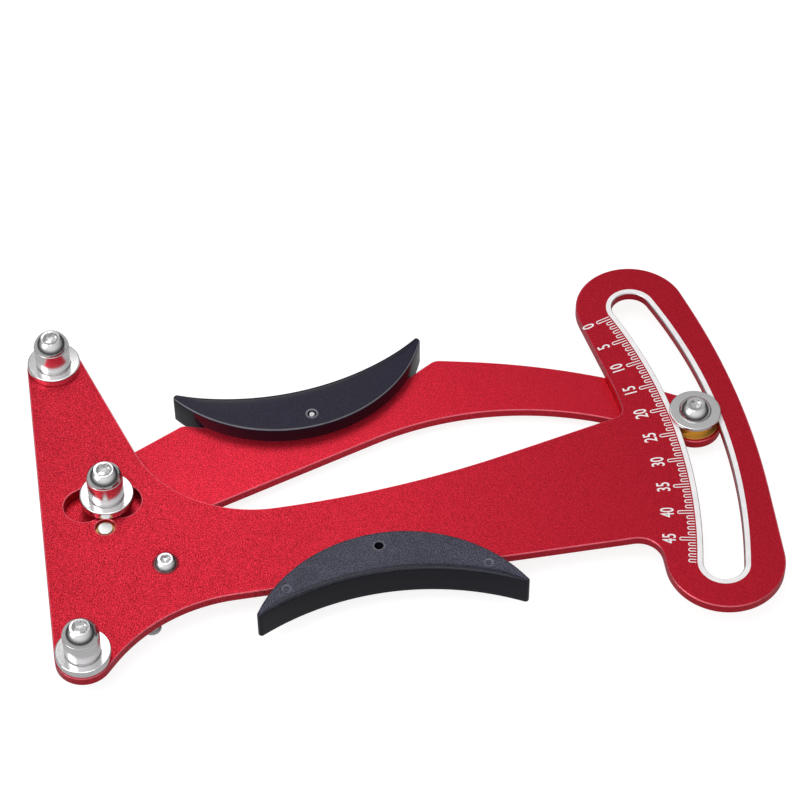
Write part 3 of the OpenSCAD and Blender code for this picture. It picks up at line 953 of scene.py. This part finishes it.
# %% Posts
POST_R, FLANGE_R, FLANGE_T = 5.35, 8.0, 2.45
NECK_R = POST_R - 0.35
NECK_TOP, SHOULDER = 0.5, 0.85      # heights above the flange
POSTS = (("upper", "frame"), ("lower", "frame"), ("moving", "lever"))
for label, body in POSTS:
    node = f"{label}_post_sleeve"
    low, high = heights(node)
    flange = low + FLANGE_T
    turned(f"{label}_post", middle(node), rounded([
        (M6_HOLE, low, 0.1), (FLANGE_R, low, 0.35), (FLANGE_R, flange, 0.4),
        (NECK_R, flange, 0.15), (NECK_R, flange + NECK_TOP, 0.08),
        (POST_R, flange + SHOULDER, 0.1), (POST_R, high, 0.28),
        (M6_HOLE, high, 0.1)]), aluminium, body, node, ring=True)
    print(node, low, high)

# %% [markdown]
# ## The domed screws
# The screws have a low dome, flat on top, with a hex socket. A ball cut by a plane would
# be near it; a profile gives the true dome, as an arc that leaves the rim and meets the
# crown, and runs on down into the socket. Only the socket's rows are six-sided.

# %% Domed screws
RIM_SHARE, CROWN_SHARE, SOCKET_SHARE = 0.05, 0.55, 0.6      # of the head's size
THREAD_SHARE, THREAD_GAP = 0.28, 0.6    # depth over pitch; mm below the head


def domed_screw(name, node, body, head_r, head_h, across, shank_r, pitch):
    """The dome is an arc about a point on the axis, at the height from which the rim and
    the crown's edge are equally far."""
    low, high = heights(node)
    under = high - head_h
    rim, crown = RIM_SHARE * head_h, CROWN_SHARE * head_r
    drop = (head_r**2 + rim**2 - crown**2 - head_h**2) / (2 * (rim - head_h))
    ball = hypot(crown, head_h - drop)
    a = np.linspace(atan2(rim - drop, head_r), atan2(head_h - drop, crown), 12)[1:]
    dome = np.stack([ball * np.cos(a), under + drop + ball * np.sin(a)], 1)
    flat, deep = across / 2, high - SOCKET_SHARE * head_h
    thread_top = under - THREAD_GAP
    shank = np.arange(low + 0.5, thread_top, pitch / 6)
    lower = np.concatenate([[(shank_r - 0.6, low)],
                            np.stack([np.full_like(shank, shank_r), shank], 1)])
    head = profile([(shank_r, thread_top, 0), (shank_r, under, 0), (head_r, under, 0.12),
                    (head_r, under + rim, 0)])
    socket = [(flat + 0.26, high), (flat + 0.18, high - 0.02), (flat, high - 0.22),
              (flat, high - 0.5), (flat, deep + 0.05), (flat * 0.97, deep),
              (flat * 0.5, deep - 0.12), (0.1, deep - 0.3)]
    line = np.concatenate([lower, head, dome, socket])
    six = np.zeros(len(line))
    six[-7:] = (0.15, 1, 1, 1, 1, 0.4, 0)
    turned(name, middle(node), line, stainless, body, node, hexagon=six, crease=30,
           thread=(pitch, THREAD_SHARE * pitch, low + 0.4, thread_top))


for label, body in POSTS:
    domed_screw(f"{label}_screw", f"{label}_post_screw", body, 5.25, 3.3, 4.0, 3.0, 1.0)
domed_screw("pointer_domed_screw", "pointer_screw", "lever", 5.0, 2.8, 3.2, 2.5, 0.8)
domed_screw("anchor_domed_screw", "spring_anchor_screw", "frame", 3.9, 2.2, 2.5, 2.0, 0.7)
print("screw heads", heights("upper_post_screw")[1], heights("pointer_screw")[1])

# %% [markdown]
# ## Plain rings
# Washers, a bush and the spacer are plain rings. A tube from the menu would have sharp
# rims; here a rectangle with four small fillets is swept about its hole. The brass ring
# at the pivot sits low in its hole, which shows as a gold line with a shadow.

# %% Plain rings
PIN_BORE = 2.3


def ring_piece(name, node, body, material, outer, bore, fillet=0.12, sunk=0.0):
    """A rectangle between two radii, as high as its node less sunk, swept round."""
    low, high = heights(node)
    high -= sunk
    turned(name, middle(node), rounded([
        (bore, low, fillet), (outer, low, fillet), (outer, high, fillet),
        (bore, high, fillet)]), material, body, node, ring=True)


ring_piece("pivot_brass_ring", "pivot_insert", "frame", brass, 2.9, 2.27, 0.06, 1.6)
ring_piece("thrust_washer", "pivot_thrust_washer", "frame", zinc, 4.2, PIN_BORE, 0.08)
ring_piece("back_washer", "pivot_back_washer", "frame", zinc, 5.0, PIN_BORE, 0.08)
ring_piece("lever_brass_bush", "lever_bush", "lever", brass, 3.6, PIN_BORE)
# The spacer takes the dark zinc finish as painted shade: under the flange it stands in
# shadow.
ring_piece("window_spacer", "moving_post_spacer", "lever", zinc, 5.0, M6_HOLE)
print("ring at the pivot", heights("pivot_insert"))

# %% [markdown]
# ## The pointer
# The pointer is a wide washer, bevelled below, on a brass bush that runs in the slot. The
# bush has a thin flange that lies on the lever; a little gold shows past the washer. Both
# are profiles again, because a flange and a bevel are one corner more in each.

# %% Bush and washer
POINTER_BORE, BUSH_R, BUSH_FLANGE_R, BUSH_FLANGE_T = 2.52, 5.7, 7.4, 0.3
WASHER_R, WASHER_FOOT_R, BEVEL = 7.75, 6.95, 0.6

low, high = heights("pointer_bush")
turned("pointer_brass_bush", pointer, rounded([
    (POINTER_BORE, low, 0.1), (BUSH_FLANGE_R, low, 0.1),
    (BUSH_FLANGE_R, low + BUSH_FLANGE_T, 0.1), (BUSH_R, low + BUSH_FLANGE_T, 0.05),
    (BUSH_R, high, 0.12), (POINTER_BORE, high, 0.12)]),
    brass, "lever", "pointer_bush", ring=True)

low, high = heights("pointer_washer")
turned("bevelled_washer", pointer, rounded([
    (POINTER_BORE, low, 0.1), (WASHER_FOOT_R, low, 0.2), (WASHER_R, low + BEVEL, 0.15),
    (WASHER_R, high, 0.3), (POINTER_BORE, high, 0.1)]),
    aluminium, "lever", "pointer_washer", ring=True)
print("pointer washer", low, high)

# %% [markdown]
# ## The pivot pin
# The pin that the lever turns on has a wide head behind, and the polished end in front is
# the small pale disc below the middle post. It is solid, so its profile is an open line
# that starts and ends near the axis, and a small face closes each end.

# %% The pivot pin
PIN_R, PIN_HEAD_R, PIN_HEAD_H = 2.25, 5.0, 3.2
low, high = heights("pivot_pin")
turned("pivot_headed_pin", (0, 0), profile([
    (0.1, low, 0), (PIN_HEAD_R, low, 0.4), (PIN_HEAD_R, low + PIN_HEAD_H, 0.2),
    (PIN_R, low + PIN_HEAD_H, 0.05), (PIN_R, high, 0.25), (0.1, high, 0)]),
    pale_steel, "frame", "pivot_pin")
print("pivot pin", low, high)

# %% [markdown]
# ## The spring's studs
# A stud behind each plate holds one hook of the spring in a half-round groove. The groove
# could be cut out with a torus; in a profile it is half a circle of points.

# %% Studs
STUD_R, GROOVE_R, GROOVE_Z, GROOVE_HALF, LAND = 2.8, 2.0, 1.85, 0.6, 0.65


def stud(name, node, body, top_r, shoulder):
    """Foot, groove and shoulder, then a thinner end that goes into the plate."""
    low, high = heights(node)
    t = np.linspace(-pi / 2, pi / 2, 9)
    hollow = np.stack([STUD_R - (STUD_R - GROOVE_R) * np.cos(t),
                       GROOVE_Z + GROOVE_HALF * np.sin(t)], 1)
    line = np.concatenate([
        profile([(0.1, low, 0), (STUD_R, low, 0.3), (STUD_R, GROOVE_Z - LAND, 0)]), hollow,
        profile([(STUD_R, GROOVE_Z + LAND, 0), (STUD_R, shoulder, 0.15),
                 (top_r, shoulder, 0.05), (top_r, high, 0.1), (0.1, high, 0)])])
    turned(name, middle(node), line, aluminium, body, node)


stud("lever_stud", "spring_lever_stud", "lever", 2.0, lever_back)
stud("anchor_stud", "spring_anchor_stud", "frame", 2.3, plate_back - 0.1)
print("studs", heights("spring_lever_stud"), heights("spring_anchor_stud"))

# %% [markdown]
# ## Nuts and grip screws
# Zinc-plated nuts hold the screws behind the plates, and a small round-headed screw goes
# into each grip from behind. A cylinder of six sides would make a nut without its cut
# corners: here the rows at both faces are round and those between are six-sided.

# %% Nuts
CONE, CONE_SHARE, LEAD = 0.35, 0.93, 0.3    # the corners' cone; the bore's lead-in


def nut(name, node, body, across, bore):
    """A ring whose middle rows are hexagons, so that a shallow cone cuts the corners."""
    low, high = heights(node)
    flat = across / 2
    line = np.array([(bore, low + LEAD), (bore + LEAD, low), (flat * CONE_SHARE, low),
                     (flat, low + CONE), (flat, high - CONE), (flat * CONE_SHARE, high),
                     (bore + LEAD, high), (bore, high - LEAD)])
    turned(name, middle(node), line, zinc, body, node, ring=True,
           hexagon=[0, 0, 0, 1, 1, 0, 0, 0], crease=28)


for label, body in POSTS:
    nut(f"{label}_nut", f"{label}_post_nut", body, 10, 3.02)
nut("pointer_thin_nut", "pointer_nut", "lever", 8, POINTER_BORE)
print("nuts", len(POSTS) + 1)


# %% Grip screws
def pad_screw(name, node, body):
    """From the socket in the lowest face round the head, up the thread to the tip."""
    low, high = heights(node)
    head_r, head_h, shank_r, pitch = 2.4, 1.5, 1.2, 0.5
    shank = np.arange(low + head_h + 0.3, high - 0.4, pitch / 5)
    line = np.concatenate([
        [(0.1, low + 0.8), (0.75, low + 0.75), (0.75, low + 0.1), (0.95, low)],
        profile([(1.2, low, 0), (head_r, low + 0.25, 0.2), (head_r, low + head_h, 0.1),
                 (shank_r, low + head_h, 0.05), (shank_r, low + head_h + 0.2, 0)]),
        np.stack([np.full_like(shank, shank_r), shank], 1),
        [(shank_r - 0.3, high - 0.1), (shank_r - 0.45, high), (0.1, high)]])
    six = np.zeros(len(line))
    six[:3] = (0, 1, 1)
    turned(name, middle(node), line, zinc, body, node, hexagon=six,
           thread=(pitch, 0.15, low + head_h + 0.25, high - 0.35))


pad_screw("lower_grip_screw", "lower_pad_screw", "frame")
pad_screw("upper_grip_screw", "upper_pad_screw", "lever")
print("grip screw tips", heights("lower_pad_screw")[1], heights("upper_pad_screw")[1])

# %% [markdown]
# ## The grip pads
# Both grips are the same moulding: a crescent that bulges towards the arms and is hollow
# where the hand lies. Sculpting would give it no true edge; its outline is four arcs, two
# long ones and one round each tip, and the same line serves every height of the pad.

# %% Crescent outline
PAD_IN, PAD_OUT, PAD_T, PAD_TIP = 44.6, 79.4, 15.0, 1.0
PAD_BACK, PLATE_T = 1.6, 3.0    # behind the slot, and the slot's width
IN_CENTRE, OUT_CENTRE = np.array([0, PAD_IN]), np.array([0, PAD_T + PAD_OUT])


def crescent():
    """The pad's outline, counter-clockwise from the left tip along the bulging side. A
    tip's centre is the point that lies a tip's radius inside one long arc and outside the
    other. Also a number for each point: 0 on the bulging side, 1 on the hollow one."""
    a, b = PAD_IN - PAD_TIP, PAD_OUT + PAD_TIP
    tip_y = ((OUT_CENTRE[1]**2 - PAD_IN**2 - b * b + a * a)
             / (2 * (OUT_CENTRE[1] - PAD_IN)))
    tip = np.array([np.sqrt(a * a - (tip_y - PAD_IN)**2), tip_y])
    bulge, hollow = tip - IN_CENTRE, OUT_CENTRE - tip
    first, last = atan2(bulge[1], bulge[0]), atan2(hollow[1], hollow[0])
    parts = [arc(IN_CENTRE, PAD_IN, -pi - first, first, 0.004)[1:],
             arc(tip, PAD_TIP, first, last, 0.004)[1:],
             arc(OUT_CENTRE, PAD_OUT, last - pi, -last, 0.004)[1:],
             arc(tip * (-1, 1), PAD_TIP, pi - last, pi - first, 0.004)[1:]]
    side = [np.zeros(len(parts[0])), np.linspace(0, 1, len(parts[1])),
            np.ones(len(parts[2])), np.linspace(1, 0, len(parts[3]))]
    return np.concatenate(parts), np.concatenate(side)


print("crescent points", len(crescent()[0]))


# %% [markdown]
# ## Rows of a pad
# A pad is built the way that a potter coils a bowl: one row of points on another, with
# faces between. The slot and the holes could be cut out by other solids, but such cuts
# leave slivers. Where a level face has a hole or a notch, it is filled between rows.


# %% A shell of rows
class Shell:
    """Rows of points, each with its edge value and its grain value, which also paints
    shade where it is low, and the faces between.
    """

    def __init__(self):
        self.points, self.edges, self.grained, self.faces = [], [], [], []

    def row(self, flat, z, edge=0.0, grain=1.0):
        """Adds one row of points and returns their numbers."""
        start = sum(map(len, self.points))
        self.points.append(np.column_stack([flat, np.broadcast_to(z, len(flat))]))
        self.edges.append(np.broadcast_to(edge, len(flat)))
        self.grained.append(np.broadcast_to(grain, len(flat)))
        return np.arange(start, start + len(flat))

    def rings(self, centre, z, sizes, wear_and_highlight=1.0):
        """Adds a clockwise circle for each radius, depth below z, and edge value."""
        return [self.row(circle(centre, radius)[::-1], z - depth, edge * wear_and_highlight)
                for radius, depth, edge in sizes]

    def band(self, a, b):
        """Faces between two rows of equal length."""
        self.faces.extend(np.stack([a, np.roll(a, -1), np.roll(b, -1), b], 1))

    def bands(self, rows, turned_round=False):
        """Faces between each row and the next."""
        for a, b in zip(rows, rows[1:]):
            self.band(*((b, a) if turned_round else (a, b)))

    def cap(self, loops, up):
        """A level face over the first loop, less the others."""
        self.faces.extend(fill(np.concatenate(self.points), loops, up))


# %% Back of a pad
BACK_ROUND, BACK_RIM = 0.35, 0.3
QUARTER = np.linspace(0, pi / 2, 5)     # steps round a quarter circle
print("rows round an edge", len(QUARTER))


def pad_back(shell, line, cut_line, notch, low):
    """Underside, edge and wall up to the slot, where each row of the edge is the outline
    moved in by a radius times 1 - sin and raised by it times 1 - cos. Then the slot's
    wall. Returns the underside's row, the slot's two ledges and the wall's top row."""
    base, ceiling = low + PAD_BACK, low + PAD_BACK + PLATE_T
    rows = [shell.row(inset(line, BACK_ROUND + BACK_RIM), low)]
    rows += [shell.row(inset(line, BACK_ROUND * (1 - sin(t))),
                       low + BACK_ROUND * (1 - cos(t)), 0, 1 - t / QUARTER[-1])
             for t in QUARTER]
    wall_low = shell.row(line, base, 0, 0)
    shell.bands([*rows, wall_low])
    notch_low = shell.row(cut_line[notch], base, 0, 0)
    deep_low, deep_high = wall_low.copy(), shell.row(cut_line, ceiling, 0, 0)
    deep_low[notch] = notch_low
    shell.band(deep_low, deep_high)
    wall_high = deep_high.copy()
    wall_high[notch] = shell.row(line[notch], ceiling, 0, 0)
    ends = np.arange(notch[0] - 1, notch[-1] + 2) % len(line)
    ledges = [np.concatenate([wall[ends], deep[::-1]])
              for wall, deep in ((wall_low, notch_low), (wall_high, deep_high[notch]))]
    return rows[0], ledges, wall_high


# %% Front of a pad
FILLET, LIP, LIP_RISE = 0.8, 0.4, 0.25     # the lip is a flat crest and a run down
LIP_FOOT, LIP_RUN = 0.3, 0.9
FREE_SHARE = 0.42       # how much of the pad's width the fillet and lip may take
print("lip", LIP, "mm wide", LIP_RISE, "mm high")


def pad_front(shell, line, side, wall_high, high, wear_and_highlight):
    """A quarter-circle fillet, the lip's crest, and the run down to the front, each as
    the outline moved in. Side, 0 to 1, brings in the lip where the hand lies. Across is
    the pad's width there, and where it is short the rows move in less. Returns the
    innermost row."""
    across = (PAD_IN - np.hypot(*(line - IN_CENTRE).T)
              + np.hypot(*(line - OUT_CENTRE).T) - PAD_OUT)
    reach = FILLET + LIP_FOOT + (LIP + LIP_RUN) * side
    fit = np.minimum(1, FREE_SHARE * np.maximum(across, 2 * PAD_TIP) / reach)
    dip = LIP_RISE * (1 - side)
    rows = [wall_high]
    # The fillet's edge value peaks halfway round it, so the edge mask draws a pale line
    # there: wear and a painted highlight.
    rows += [shell.row(inset(line, fit * FILLET * (1 - cos(t))),
                       high - dip - FILLET * (1 - sin(t)),
                       sin(2 * t)**3 * wear_and_highlight * (1 - 0.4 * side),
                       t / QUARTER[-1] * (1 - 0.8 * side)) for t in QUARTER]
    # On the hollow side the lip's rows get a low grain value: smooth, and painted dark as
    # shade.
    rows.append(shell.row(inset(line, fit * (FILLET + LIP * side)), high - dip, 0,
                          1 - 0.8 * side))
    for part in (0.5, 1.0):
        run = FILLET + LIP * side + part * (LIP_FOOT + LIP_RUN * side)
        rows.append(shell.row(inset(line, fit * run), high - dip - part * LIP_RISE * side,
                              0, 1 - (1 - part) * side))
    shell.bands(rows)
    return rows[-1]


# %% A whole pad
HOLE_R, CHAMFER_H = 1.25, 0.15
HOLE_RINGS = ((2.3, 0, 0), (1.75, 0, 0.8), (1.45, 0, 1))    # radius, depth, edge
POCKET_RINGS = ((1.6, 0, 0), (1.35, 0, 1), (1.1, 0.2, 0.7), (0.8, 0.2, 0))


def pad(name, node, screw, body, material, at, angle, slot_line, pockets=(), wear_and_highlight=1.0):
    """A crescent with a slot. slot_line gives, for x along the pad, how far in the
    slot reaches; pockets are shallow round marks in the front, as places in the plan."""
    low, high = heights(node)
    front, base, ceiling = high - LIP_RISE, low + PAD_BACK, low + PAD_BACK + PLATE_T
    line, side = crescent()
    floor_y = slot_line(line[:, 0])
    in_slot = (side == 0) & (floor_y > line[:, 1])
    cut_line = np.where(in_slot[:, None], np.column_stack([line[:, 0], floor_y]), line)
    shell = Shell()
    underside, ledges, wall_high = pad_back(shell, line, cut_line,
                                            np.flatnonzero(in_slot), low)
    top_loops = [pad_front(shell, line, side, wall_high, high, wear_and_highlight)]

    to_pad = Matrix.Rotation(-angle, 2)
    spots = [np.array(to_pad @ Vector(np.subtract(spot, at)))
             for spot in (middle(screw), *pockets)]
    bore = circle(spots[0], HOLE_R)[::-1]
    shaft = shell.rings(spots[0], front, HOLE_RINGS, wear_and_highlight)
    shaft += [shell.row(bore, front - CHAMFER_H, 0, 0), shell.row(bore, ceiling, 0, 0)]
    shell.bands(shaft, turned_round=True)
    top_loops.append(shaft[0])
    for spot in spots[1:]:
        marks = shell.rings(spot, front, POCKET_RINGS)
        shell.bands(marks, turned_round=True)
        shell.faces.append(marks[-1][::-1])
        top_loops.append(marks[0])
    shell.cap(top_loops, True)
    shell.cap([ledges[1], shaft[-1]], False)
    lower_bore = [shell.row(bore, base, 0, 0), shell.row(bore, low)]
    shell.band(lower_bore[1], lower_bore[0])
    shell.cap([ledges[0], lower_bore[0]], True)
    shell.cap([underside, lower_bore[1]], False)

    points = np.concatenate(shell.points)
    points[:, :2] = points[:, :2] @ np.array(to_pad) + at
    return piece_of(name, points, shell.faces, material, body, (node,), 40,
                    edge=np.concatenate(shell.edges),
                    grained=np.concatenate(shell.grained))


# %% [markdown]
# ## Both pads
# The lower grip sits on the straight lower edge of the plate, half turned round, and has
# two round marks of the mould's pins. The upper one sits on the arch of the lever. The
# floor of each slot follows the edge that it takes, as a line or as an arc.

# %% Both pads
lower_at, upper_at, upper_turn = np.array([79.0, -18.5]), np.array([67.1, 27.5]), 8.6
EDGE_CENTRE, EDGE_R = np.array([52.9, 120.1]), 85.8
LINE_X, LINE_Y, LINE_SLOPE = 20, -30.8, 1.8 / 120     # the plate's lower edge
in_upper = np.array(Matrix.Rotation(-radians(upper_turn), 2)
                    @ Vector(EDGE_CENTRE - upper_at))


def straight_edge(x):
    """The plate's lower edge seen from the lower pad, which is turned half round."""
    return -(LINE_Y + LINE_SLOPE * (lower_at[0] - x - LINE_X) - lower_at[1])


def arched_edge(x):
    """The arc of the lever's upper edge, seen from the upper pad."""
    return in_upper[1] - np.sqrt(EDGE_R**2 - (x - in_upper[0])**2)


# The last value scales each pad's pale edges, as wear and as a painted highlight.
pad("lower_grip", "lower_pad", "lower_pad_screw", "frame", grained_plastic, lower_at, pi,
    straight_edge, pockets=((49.2, -34.7), (107.7, -34.6)), wear_and_highlight=0.85)
pad("upper_grip", "upper_pad", "upper_pad_screw", "lever", rubbed_plastic, upper_at,
    radians(upper_turn), arched_edge, wear_and_highlight=1.3)
print("pads", heights("upper_pad"), heights("lower_pad"))

# %% [markdown]
# ## The spring
# One wire makes the spring: a ring round each stud and seven and a half curls between.
# A Screw modifier could wind the curls, but not the hooks in one piece with them. So the
# path is worked out whole, and the wire is a round section carried along it. A guide
# direction at each point keeps the section from twisting.

# %% The hook
WIRE, CURL, CURLS, HOOK = 0.3, 1.4, 7.5, 2.42   # radii in mm, and a count
FIRST_CURL, SIDES = HOOK + 0.82, 12
HOOK_FROM, HOOK_TO = 75, 325            # degrees round the stud
PULL = 0.9                              # mm, how softly the hook bends into the coil


def hook_path():
    """A straight free end, an arc round the stud, and a cubic curve that leaves along
    the arc and comes up into the first curl, with the guide turning outward on it."""
    a = np.radians(np.linspace(HOOK_FROM, HOOK_TO, 43))[:, None]
    ring = HOOK * np.concatenate([np.cos(a), np.sin(a), 0 * a], 1)
    heading = np.concatenate([-np.sin(a), np.cos(a), 0 * a], 1)
    free = ring[:1] - 2 * WIRE * heading[:1] * np.array([[1.0], [0.5]])
    s = np.linspace(0, 1, 9)[1:-1, None]
    p, q = ring[-1], np.array([FIRST_CURL, CURL, 0])
    bend = ((1 - s)**3 * p + 3 * (1 - s)**2 * s * (p + PULL * heading[-1])
            + 3 * (1 - s) * s * s * (q - (0, 0, PULL)) + s**3 * q)
    path = np.concatenate([free, ring, bend])
    guide = np.tile((0.0, 0.0, 1.0), (len(path), 1))
    guide[-len(s):] = (1 - s) * (0, 0, 1) + s * (0, 1, 0)
    return path, guide


print("hook points", len(hook_path()[0]))


# %% Wind the spring
def wind(start, end, z):
    """The coil is a helix about the line from start to end: radius times cos and sin of
    an angle that grows evenly along it. Each point of the path gets a ring of points,
    the wire's radius away, across its heading."""
    length = hypot(*(end - start))
    hook, hook_guide = hook_path()
    a = np.linspace(0, 2 * pi * CURLS, int(24 * CURLS) + 1)
    along = FIRST_CURL + (length - 2 * FIRST_CURL) * a / a[-1]
    coil = np.stack([along, CURL * np.cos(a), CURL * np.sin(a)], 1)
    coil_guide = np.stack([0 * a, np.cos(a), np.sin(a)], 1)
    about = np.array([-1, -1, 1])
    path = np.concatenate([hook, coil, hook[::-1] * about + (length, 0, 0)])
    guide = np.concatenate([hook_guide, coil_guide, hook_guide[::-1] * about])
    heading = np.gradient(path, axis=0)
    heading /= np.linalg.norm(heading, axis=1, keepdims=True)
    n = guide - heading * np.sum(guide * heading, 1, keepdims=True)
    n /= np.linalg.norm(n, axis=1, keepdims=True)
    b = np.cross(heading, n)
    k = np.linspace(0, 2 * pi, SIDES, endpoint=False)[None, :, None]
    rings = path[:, None] + WIRE * (np.cos(k) * n[:, None] + np.sin(k) * b[:, None])
    x, y = (end - start) / length
    flat = rings.reshape(-1, 3) @ np.array([[x, y, 0], [-y, x, 0], [0, 0, 1]])
    return flat + (*start, z), len(path)


SPRING_Z = sum(heights("spring")) / 2
points, count = wind(tail_end, anchor, SPRING_Z)
faces = [*grid_faces(count, SIDES), np.arange(SIDES)[::-1],
         np.arange(SIDES) + (count - 1) * SIDES]
spring = piece_of("pull_spring", points, faces, wire_steel, None, ("spring",), 60,
                  along=np.repeat(np.arange(count) * 0.1, SIDES),
                  edge=np.zeros(count * SIDES))
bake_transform(spring)
print("spring wound", len(points))
